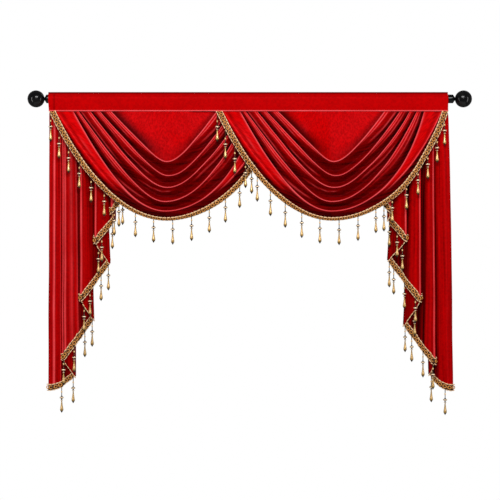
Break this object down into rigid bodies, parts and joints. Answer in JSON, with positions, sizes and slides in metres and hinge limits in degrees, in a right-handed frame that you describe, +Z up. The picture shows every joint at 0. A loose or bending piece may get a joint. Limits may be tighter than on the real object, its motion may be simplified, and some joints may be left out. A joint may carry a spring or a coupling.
{
  "type": "swagged window valance on a curtain rod",
  "caption": "Velvet window valance hung by its rod pocket on a curtain rod: overlapping swags in curved folds, stepped pleated tails, and a gold braid with hanging bead drops.",
  "frame": {"origin": "the middle of the curtain rod, on its centre line", "axes": "+X along the rod to the viewer's right, +Z up, +Y towards the wall, so the cloth's face looks along -Y"},
  "size_m": [1.6718, 0.1089, 1.2085],
  "materials": {
    "velvet": "deep red velvet with a sheen along the folds",
    "trim": "antique gold braid with glossy gold beads",
    "rod": "gloss black"
  },
  "bodies": {
    "root": {"rod": "rod", "finial_left": "rod", "finial_right": "rod", "rod_pocket": "velvet", "swag_left": "velvet", "swag_right": "velvet", "tail_left": "velvet", "tail_right": "velvet", "fringe_swag_left": "trim", "fringe_swag_right": "trim", "fringe_tail_left": "trim", "fringe_tail_right": "trim"}
  },
  "joints": []
}
